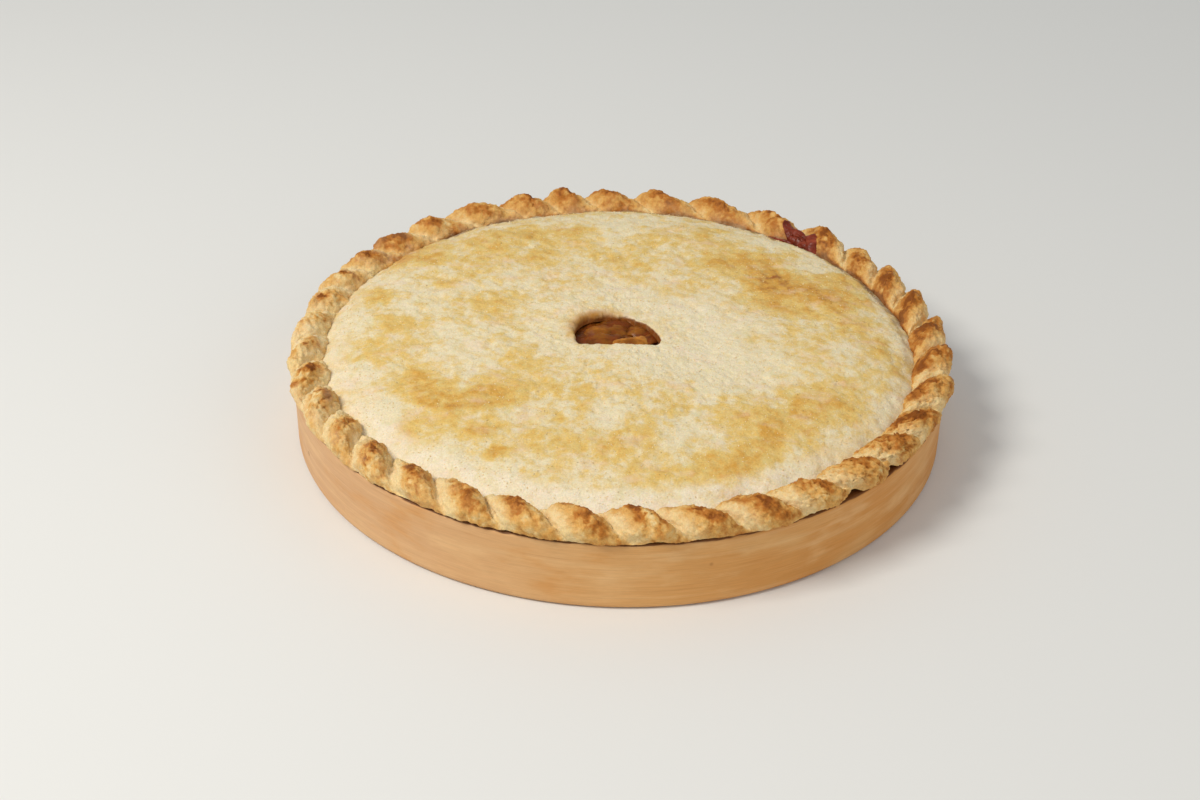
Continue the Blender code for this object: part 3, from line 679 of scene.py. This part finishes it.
def makeLid():
    looks = lidLooks
    bearing = np.linspace(0, fullTurn, looks["columns"], endpoint=False)[None, :]
    towardsBack = 0.5 + 0.5 * np.cos(bearing - math.radians(looks["softTowards"]))
    soft = mix(looks["softFront"], looks["softBack"], towardsBack**2)
    wobble = looks["raggedVent"] * rough(polar(18 * mm, bearing, 0), 5 * mm, 3, 5.5)
    start = lid["ventReach"]

    def shape(reach, drop, wobbled):
        radius = ringRadius(reach, bearing) + wobble * wobbled
        place = polar(radius, bearing, 0)
        place[..., 2] = lidTop(place[..., 0], place[..., 1]) - drop
        return place

    rows = []
    under = polar(ringRadius(start, bearing), bearing, 0)
    under[..., 2] = lidUnder(under[..., 0], under[..., 1])
    top = shape(start, soft, 1)
    for share in np.linspace(0, 1, looks["wallRows"], endpoint=False):
        rows.append(mix(under, top, share))
    for angle in np.radians(np.linspace(0, 90, looks["softRows"])):
        rows.append(shape(start + soft * (1 - math.cos(angle)), soft * (1 - math.sin(angle)), 1))
    topFrom = len(rows)
    firstReach = start + looks["softBack"] + 0.4 * mm
    reaches = [firstReach]
    while reaches[-1] < looks["edgeFrom"] - looks["spacing"][1]:
        even = smooth((reaches[-1] - firstReach) / (looks["evenFrom"] - firstReach))
        reaches.append(reaches[-1] + mix(*looks["spacing"], even))
    edge = np.sin(np.linspace(0, math.pi / 2, looks["edgeRows"]))
    reaches += list(looks["edgeFrom"] + (lidRadius - looks["edgeFrom"]) * edge)
    for reach in reaches:
        fade = 1 - smooth((reach - firstReach) / (12 * mm))
        rows.append(shape(reach, 0 * bearing, fade))
    topTo = len(rows)
    points = np.concatenate(rows)
    # swells, dimples and crumb, fading out down the vent's wall
    facing = gridNormals(points)
    if facing[topFrom + 30, :, 2].mean() < 0:
        facing = -facing
    toast = lidToast(points)
    relief = looks["swell"] * rough(points, 21 * mm, 2, 30.1)
    fine = looks["crumb"] * rough(points, 2.4 * mm, 2, 9.9)
    relief += looks["dimple"] * rough(points, 6.5 * mm, 3, 18.4) + fine
    relief -= looks["pocks"] * smooth((rough(points, 4.4 * mm, 2, 41.3) - 0.24) / 0.14)
    relief += looks["blister"] * np.clip(toast - 0.35, 0, 0.8)
    relief[:topFrom] *= np.linspace(0, 1, topFrom)[:, None]
    points = points + facing * relief[..., None]
    # the edge goes in under the rope, save where the seam shows
    tuck = looks["tucked"] * (1 - 0.8 * seamOpen(bearing))
    outR = np.hypot(points[..., 0], points[..., 1])
    share = smooth((outR / lidRadius - 0.975) / 0.025)
    points[..., :2] *= (1 + share * tuck / lidRadius)[..., None]
    points[..., 2] -= share * tuck * 0.35
    # the outer edge and the underside
    outer = points[-1].copy()
    outer[:, 2] = lid["edgeLow"]
    below = [outer[None, :]]
    for reach in (105 * mm, 98 * mm, 86 * mm, 67 * mm, 45 * mm, 25 * mm):
        place = polar(ringRadius(reach, bearing), bearing, 0)
        place[..., 2] = lidUnder(place[..., 0], place[..., 1])
        below.append(place)
    extra = len(below)
    outBearing = bearing + 0 * outR
    # a pale band round the lid's edge at the front left and front right: flour colour, partly a painted
    # highlight
    flourAndHighlightEdge = smooth((outR / mm - 98) / 7) * bump(turnedFrom(outBearing, 232), 62)
    flourAndHighlightEdge += 0.8 * smooth((outR / mm - 99) / 6) * bump(turnedFrom(outBearing, -70), 30)
    bloom = np.clip(0.85 * flourAndHighlightEdge + 0.55 * patches(points, flouredMiddle), 0, 1)
    # juice soaked the vent's wall, and its edge at the back left
    fromVent = outR - ringRadius(start, outBearing)
    syrupy = bump(np.maximum(fromVent, 0) / mm, 3.0) * bump(turnedFrom(outBearing, 150), 62)
    row = np.arange(len(points))[:, None]
    soaked = 1 - smooth((row - looks["wallRows"] + 1) / 4) + 0 * bearing
    # painted shade on the lid's edge, along the open seam to the rope
    seamShade = smooth((outR / lidRadius - 0.958) / 0.018) * seamOpen(outBearing)
    seamShade = seamShade * np.clip(0.75 + 1.4 * rough(points, 5 * mm, 2, 66.0), 0, 1)
    masks = {"toast": toast, "bloom": bloom, "soaked": soaked, "syrupy": syrupy, "seamShade": seamShade}
    masks = {
        key: np.concatenate([values, np.zeros((extra, looks["columns"]))]) for key, values in masks.items()
    }
    allPoints = np.concatenate([points] + below)
    faces = gridFaces(len(allPoints), looks["columns"], joinRows=True)
    return allPoints, faces, masks, (points[topFrom:topTo], facing[topFrom:topTo], toast[topFrom:topTo])


def lidFinish():
    colours = {key: lidLooks[key] for key in ("Pale", "Golden", "Brown", "Scorched")}
    made, shader, bench, colour = doughFinish(
        "sugaredPastry", colours, 0.5, 0.42 * mm, lidLooks["Flour"], 0.22
    )
    place = bench.place()
    rosy = bench.swirl(place, 8 * mm, 3, 0.6, (1.3, 0.8, 1))
    straw = bench.swirl(place, 5.2 * mm, 3, 0.6, (0.8, 1.3, 1))
    colour = bench.blend(bench.between(rosy, 0.52, 0.74, 0.0, 0.4), colour, lidLooks["blush"])
    colour = bench.blend(bench.between(straw, 0.52, 0.74, 0.0, 0.4), colour, lidLooks["straw"])
    # the lid's painted shade along the open seam
    colour = bench.blend(bench.maths("MULTIPLY", bench.mask("seamShade"), 0.85), colour, lidLooks["seamShade"])
    patchy = bench.between(bench.swirl(place, 2.4 * mm, 2), 0.2, 0.6, 0.75, 1.0)
    for name in ("syrupy", "soaked"):
        share = bench.maths("MULTIPLY", bench.mask(name), patchy, True)
        colour = bench.blend(share, colour, lidLooks[name])
    bench.feed(shader.inputs["Base Color"], colour)
    bench.feed(shader.inputs["Coat Weight"], bench.maths("MULTIPLY", bench.mask("soaked"), 0.15))
    return made


lidPoints, lidFaces, lidMasks, lidSurface = makeLid()
addPiece("sugaredLid", lidPoints, lidFaces, lidFinish(), ["top_crust"], lidMasks)
print("lid made")


# The filling, and the slices of apple that show in the vent

filling = {
    "columns": 200, "syrupLevel": -0.6 * mm, "syrupRows": 34, "ripple": 0.55 * mm,
    "dark": tint(92, 46, 10), "amber": tint(138, 82, 22), "flesh": tint(192, 126, 50),
    "red": tint(124, 60, 20),
    # along x, along y, half length, half width, half thickness, turned and tipped by (degrees), paleness
    "slices": (
        (0.5, 6.6, 10.0, 3.2, 1.3, 10, 16, 0.1), (-4.5, 1.4, 9.5, 3.6, 1.4, 14, 18, 0.4),
        (7.5, 1.6, 6.5, 3.0, 1.4, -18, 14, 0.26), (-5.5, -4.2, 8.5, 3.3, 1.3, 6, 14, 0.36),
        (5.0, -6.2, 8.4, 3.1, 1.5, 10, 16, 0.9), (11.5, -3.4, 4.5, 2.5, 1.3, 52, 10, 0.3),
    ),
}


def makeSyrup():
    columns = filling["columns"]
    bearing = np.linspace(0, fullTurn, columns, endpoint=False)[None, :]
    gap, crust, bend = ropeLooks["gap"], ropeLooks["crust"], 1.4 * mm
    floorZ = dish["floor"] + 2 * gap + crust
    wallR = dishRadius - dish["wall"] - 2 * gap - crust
    outline = (
        (0.5 * mm, floorZ), (wallR - bend, floorZ), (wallR, floorZ + bend),
        (wallR, lid["edgeLow"] - 2 * gap), (lidRadius, lid["edgeLow"] - gap),
    )
    rows = [polar(radius, bearing, z) for radius, z in outline]
    for reach in (105, 98, 86, 67, 45, 25, 16.5):
        place = polar(ringRadius(reach * mm, bearing), bearing, 0)
        place[..., 2] = lidUnder(place[..., 0], place[..., 1]) - gap
        rows.append(place)
    for share in np.linspace(1.02, 0.03, filling["syrupRows"]):
        place = polar(share * ventRadius(bearing), bearing, 0)
        place[..., 2] = lidUnder(place[..., 0], place[..., 1]) + filling["syrupLevel"]
        place[..., 2] += filling["ripple"] * rough(place, 4 * mm, 3, 1.1)
        rows.append(place)
    points = np.concatenate(rows)
    return points, gridFaces(len(points), columns, joinRows=True)


def makeSlices():
    # each slice is a thin curved wedge, thicker along one side, whose ends dip into the syrup
    lengthwise, roundwise = 44, 28
    allPoints, allFaces, tones, count = [], [], [], 0
    level = lidUnder(np.array(0.0), np.array(0.0)) + filling["syrupLevel"]
    for number, (x, y, length, width, thick, turned, tipped, paleness) in enumerate(filling["slices"]):
        along = np.cos(np.linspace(0.02, math.pi - 0.02, lengthwise))[:, None]
        around = np.linspace(0, fullTurn, roundwise, endpoint=False)[None, :]
        full = (1 - along**2) ** 0.42
        across = width * full * np.cos(around)
        up = thick * full * np.sin(around) * (0.75 + 0.25 * np.cos(around))
        body = np.stack([length * along + 0 * around, across + 0.12 * length * along**2, up], axis=-1) * mm
        body[..., 2] -= 1.6 * mm * (along**2) ** 1.3
        uneven = rough(body + number * 31 * mm, 5.0 * mm, 3, number * 1.7)
        body[..., 2] += 0.6 * mm * uneven * full
        body[..., 1] += 0.8 * mm * uneven * full
        place = Matrix.Translation((x * mm, y * mm, level + 0.75 * mm))
        spin = Matrix.Rotation(math.radians(turned), 4, "Z") @ Matrix.Rotation(math.radians(tipped), 4, "X")
        spin = np.array(place @ spin)
        body = body @ spin[:3, :3].T + spin[:3, 3]
        body[..., 2] = np.minimum(body[..., 2], level + 2.7 * mm)
        faces = facesOut(body, gridFaces(lengthwise, roundwise)) + count
        caps = np.array([[0, i, i + 1] for i in range(1, roundwise - 1)])
        caps = np.concatenate([caps, lengthwise * roundwise - 1 - caps]) + count
        allPoints.append(body.reshape(-1, 3))
        allFaces += faces.tolist() + caps.tolist()
        tones.append(paleness + 0.45 * uneven.ravel())
        count += lengthwise * roundwise
    return np.concatenate(allPoints), allFaces, np.concatenate(tones)


def appleFinish(name, pale):
    made, shader, bench = newFinish(
        name, filling["amber"], 0.35, Subsurface_Weight=0.3, Subsurface_Radius=(1.0, 0.35, 0.12),
        Subsurface_Scale=1.5 * mm, Coat_Weight=0.07, Coat_Roughness=0.14, Specular_IOR_Level=0.12,
    )
    place = bench.place()
    blotch = bench.swirl(place, 5 * mm, 3, 0.6)
    streak = bench.swirl(place, 1.8 * mm, 3, 0.6, (3.0, 0.9, 0.9))
    streaky = bench.maths("MULTIPLY", bench.maths("SUBTRACT", streak, 0.5), 1.3)
    share = bench.maths("ADD", pale if isinstance(pale, float) else bench.mask(pale), streaky)
    colour = bench.blend(bench.between(blotch, 0.35, 0.65), filling["dark"], filling["red"])
    colour = bench.blend(bench.between(share, 0.1, 0.6), colour, filling["amber"])
    colour = bench.blend(bench.between(share, 0.6, 1.1), colour, filling["flesh"])
    bench.feed(shader.inputs["Base Color"], colour)
    bench.feed(shader.inputs["Roughness"], bench.between(blotch, 0.3, 0.7, 0.24, 0.48))
    giveRelief(bench, shader, bench.maths("ADD", streak, bench.maths("MULTIPLY", blotch, 0.6)), 0.2 * mm)
    return made


syrupPoints, syrupFaces = makeSyrup()
syrupFinish = appleFinish("darkSyrup", 0.12)
addPiece("appleSyrup", syrupPoints, syrupFaces, syrupFinish, ["apple_filling"])
slicePoints, sliceFaces, sliceTones = makeSlices()
sliceFinish = appleFinish("bakedSlices", "paleness")
addPiece(
    "appleSlices", slicePoints, sliceFaces, sliceFinish, masks={"paleness": sliceTones}
)
print("filling made")


# The juice that boiled over at the back right

juice = {
    # in crimps round the rope and in its sides: the pool, and the tail that ran along the seam
    "from": 22.0, "to": 23.9, "highest": 0.55, "pool": (22.7, -0.44), "poolSize": (0.36, 0.52),
    "tail": (23.15, -0.84), "tailSize": (0.6, 0.12),
    "thick": 0.7 * mm, "brimming": 3.2 * mm, "sunk": 0.7 * mm,
    "wine": tint(128, 48, 26), "plum": tint(96, 34, 16), "bright": tint(170, 82, 54),
}


def calmed(grid, rounds):
    # a grid of points or directions, each drawn towards its four neighbours
    for _ in range(rounds):
        wide = np.pad(grid, ((1, 1), (1, 1), (0, 0)), "edge")
        grid = (wide[:-2, 1:-1] + wide[2:, 1:-1] + wide[1:-1, :-2] + wide[1:-1, 2:] + 2 * grid) / 6
    return grid


def makeJuice():
    # a film over the rope's own surface, sunk under it where it's dry
    perCrimp = ropeLooks["stepsPerCrimp"]
    first, last = (round((juice[key] + 0.5) * perCrimp) for key in ("from", "to"))
    upTo = round((juice["highest"] + 1) / 2 * (ropeLooks["rows"] - 1))
    window = (slice(0, upTo), slice(first, last))
    base = ropePoints[:ropeLooks["rows"]][window]
    facing = ropeFacing[window]
    if facing[..., 2].mean() < 0:
        facing = -facing
    rows, columns = base.shape[:2]
    step = np.linspace(juice["from"], juice["to"], columns)[None, :]
    side = np.linspace(-1, juice["highest"], rows)[:, None]

    def blob(middle, size):
        return 1 - np.abs((step - middle[0]) / size[0]) ** 2.6 - np.abs((side - middle[1]) / size[1]) ** 2.6

    wet = np.maximum(blob(juice["pool"], juice["poolSize"]), 0.5 * blob(juice["tail"], juice["tailSize"]))
    wet = np.clip(wet + 0.35 * rough(base, 4 * mm, 2, 8.8), -1, 1)
    # it fills the pinch between the two crimps, and is smooth there
    pinch = bump(step - math.floor(juice["from"]) - 0.5, 0.19)
    deep = juice["thick"] + juice["brimming"] * pinch
    film = np.where(wet > 0, deep * np.sqrt(np.abs(wet)), -juice["sunk"] * smooth(-wet * 3))
    share = (pinch * smooth(4 * wet))[..., None]
    topSheet = mix(base, calmed(base, 30), share) + mix(facing, calmed(facing, 30), share) * film[..., None]
    lowSheet = base - facing * (juice["sunk"] + 0.5 * mm)
    cells = [(r * columns + c, r * columns + c + 1, (r + 1) * columns + c + 1, (r + 1) * columns + c)
             for r in range(rows - 1) for c in range(columns - 1)]
    count = rows * columns
    faces = cells + [tuple(count + i for i in cell[::-1]) for cell in cells]
    rim = [c for c in range(columns)] + [r * columns + columns - 1 for r in range(1, rows)]
    rim += [(rows - 1) * columns + c for c in range(columns - 2, -1, -1)]
    rim += [r * columns for r in range(rows - 2, 0, -1)]
    faces += [(b, a, count + a, count + b) for a, b in zip(rim, rim[1:] + rim[:1])]
    points = np.concatenate([topSheet.reshape(-1, 3), lowSheet.reshape(-1, 3)])
    return points, np.array(faces)


def juiceFinish():
    made, shader, bench = newFinish(
        "boiledJuice", juice["wine"], 0.4, Subsurface_Weight=0.15, Subsurface_Radius=(1.0, 0.2, 0.15),
        Subsurface_Scale=1.0 * mm, Coat_Weight=0.08, Coat_Roughness=0.2, Specular_IOR_Level=0.2,
    )
    place = bench.place()
    blotch = bench.swirl(place, 4 * mm, 3, 0.6)
    colour = bench.blend(bench.between(blotch, 0.3, 0.6), juice["plum"], juice["wine"])
    colour = bench.blend(bench.between(blotch, 0.55, 0.8, 0.0, 0.8), colour, juice["bright"])
    bench.feed(shader.inputs["Base Color"], colour)
    bench.feed(shader.inputs["Roughness"], bench.between(blotch, 0.3, 0.7, 0.34, 0.55))
    giveRelief(bench, shader, bench.swirl(place, 2.5 * mm, 2, 0.5), 0.08 * mm)
    return made


juicePoints, juiceFaces = makeJuice()
addPiece("boiledOver", juicePoints, juiceFaces, juiceFinish(), ["boiled_juice"])
print("juice made")


# Grains of sugar on the lid, as one joined mesh

sugar = {
    "grains": 9000, "sizes": (0.18 * mm, 0.42 * mm), "seed": 5,
    "white": tint(238, 222, 186), "melted": tint(228, 200, 142),
}


def scatter(points, facing, weights, count, sizes, seed):
    # small six-sided crumbs, turned at random, half sunk in what they lie on
    draw = np.random.default_rng(seed)
    flat, up = points.reshape(-1, 3), facing.reshape(-1, 3)
    shares = weights.ravel() / weights.sum()
    chosen = draw.choice(len(flat), size=count, p=shares)
    corners = np.array([(x, y, z) for z in (-1, 1) for y in (-1, 1) for x in (-1, 1)], float) / 2
    faces = np.array([(0, 2, 3, 1), (4, 5, 7, 6), (0, 1, 5, 4), (2, 6, 7, 3), (0, 4, 6, 2), (1, 3, 7, 5)])
    turns = draw.normal(size=(count, 4))
    turns /= np.linalg.norm(turns, axis=1, keepdims=True)
    w, x, y, z = turns.T
    spin = np.stack([
        np.stack([1 - 2 * (y * y + z * z), 2 * (x * y - z * w), 2 * (x * z + y * w)], axis=-1),
        np.stack([2 * (x * y + z * w), 1 - 2 * (x * x + z * z), 2 * (y * z - x * w)], axis=-1),
        np.stack([2 * (x * z - y * w), 2 * (y * z + x * w), 1 - 2 * (x * x + y * y)], axis=-1),
    ], axis=1)
    size = draw.uniform(sizes[0], sizes[1], (count, 1, 1)) * draw.uniform(0.6, 1.0, (count, 1, 3))
    shapes = corners[None] * size * (1 + 0.25 * draw.uniform(-1, 1, (count, 8, 3)))
    shapes = np.einsum("nij,nkj->nki", spin, shapes)
    jitter = draw.uniform(-0.4, 0.4, (count, 1, 3)) * mm * (1, 1, 0)
    shapes += flat[chosen][:, None] + jitter + up[chosen][:, None] * size.mean(axis=-1, keepdims=True) * 0.15
    allFaces = faces[None] + 8 * np.arange(count)[:, None, None]
    return shapes.reshape(-1, 3), allFaces.reshape(-1, 4)


def sugarFinish():
    made, shader, bench = newFinish(
        "sugarCrystals", sugar["white"], 0.4, Subsurface_Weight=0.3, Subsurface_Radius=(1.0, 0.9, 0.8),
        Subsurface_Scale=0.4 * mm, Specular_IOR_Level=0.3,
    )
    cloudy = bench.swirl(bench.place(), 1.2 * mm, 2)
    colour = bench.blend(bench.between(cloudy, 0.35, 0.6), sugar["white"], sugar["melted"])
    bench.feed(shader.inputs["Base Color"], colour)
    bench.feed(shader.inputs["Roughness"], bench.between(cloudy, 0.3, 0.7, 0.4, 0.65))
    return made


surface, surfaceFacing, surfaceToast = lidSurface
surfaceR = np.hypot(surface[..., 0], surface[..., 1])
ringSpacing = np.abs(np.gradient(surfaceR.mean(axis=1)))[:, None]
grainWeights = surfaceR * ringSpacing * (0.12 + np.clip(0.9 - surfaceToast, 0, 1)) * (surfaceR < 107 * mm)
grainPoints, grainFaces = scatter(
    surface, surfaceFacing, grainWeights, sugar["grains"], sugar["sizes"], sugar["seed"]
)
addPiece("sugarGrains", grainPoints, grainFaces, sugarFinish(), rounded=False)
print("sugar made")


# Floor, light and camera

studio = {
    "floorSize": 6.0, "floor": tint(226, 226, 224), "room": (0.95, 0.97, 1.0, 1.0), "roomStrength": 0.42,
    # where each light stands, its size, its strength and its colour
    "lights": (
        ("windowLight", (-0.82, -0.46, 1.14), 0.5, 14.7, (1.0, 0.96, 0.88)),
        ("fillLight", (1.1, -0.9, 0.8), 1.2, 4.1, (1.0, 0.95, 0.87)),
        ("backLight", (0.2, 1.2, 0.9), 1.0, 0.7, (0.9, 1.0, 0.82)),
    ),
    "lens": 54, "distance": 0.664, "aim": (-0.0070, -0.0247, 0.0200), "elevation": 32.38, "roll": 0.98,
}


def makeStudio():
    half = studio["floorSize"] / 2
    mesh = bpy.data.meshes.new("paleFloor")
    corners = [(-half, -half, 0), (half, -half, 0), (half, half, 0), (-half, half, 0)]
    mesh.from_pydata(corners, [], [(0, 1, 2, 3)])
    mesh.materials.append(newFinish("floorPaint", studio["floor"], 0.8)[0])
    floor = bpy.data.objects.new("paleFloor", mesh)
    bpy.context.scene.collection.objects.link(floor)
    world = bpy.data.worlds.new("room")
    world.use_nodes = True
    background = world.node_tree.nodes["Background"].inputs
    background["Color"].default_value = studio["room"]
    background["Strength"].default_value = studio["roomStrength"]
    bpy.context.scene.world = world
    for name, place, size, strength, colour in studio["lights"]:
        lamp = bpy.data.lights.new(name, "AREA")
        lamp.size = size
        lamp.energy = strength
        lamp.color = colour
        stand = bpy.data.objects.new(name, lamp)
        stand.location = place
        stand.rotation_euler = (Vector((0, 0, 0.03)) - Vector(place)).to_track_quat("-Z", "Y").to_euler()
        bpy.context.scene.collection.objects.link(stand)


def makeCamera():
    tilt, roll = math.radians(studio["elevation"]), math.radians(studio["roll"])
    right, up = Vector((1, 0, 0)), Vector((0, math.sin(tilt), math.cos(tilt)))
    back = Vector((0, -math.cos(tilt), math.sin(tilt)))
    rolledRight = math.cos(roll) * right + math.sin(roll) * up
    rolledUp = math.cos(roll) * up - math.sin(roll) * right
    data = bpy.data.cameras.new("camera")
    data.lens = studio["lens"]
    data.sensor_width = 36
    data.clip_start, data.clip_end = 0.01, 20
    camera = bpy.data.objects.new("camera", data)
    turned = Matrix((rolledRight, rolledUp, back)).transposed().to_4x4()
    camera.matrix_world = Matrix.Translation(Vector(studio["aim"]) + studio["distance"] * back) @ turned
    bpy.context.scene.collection.objects.link(camera)
    bpy.context.scene.camera = camera


makeStudio()
makeCamera()
print("studio made")
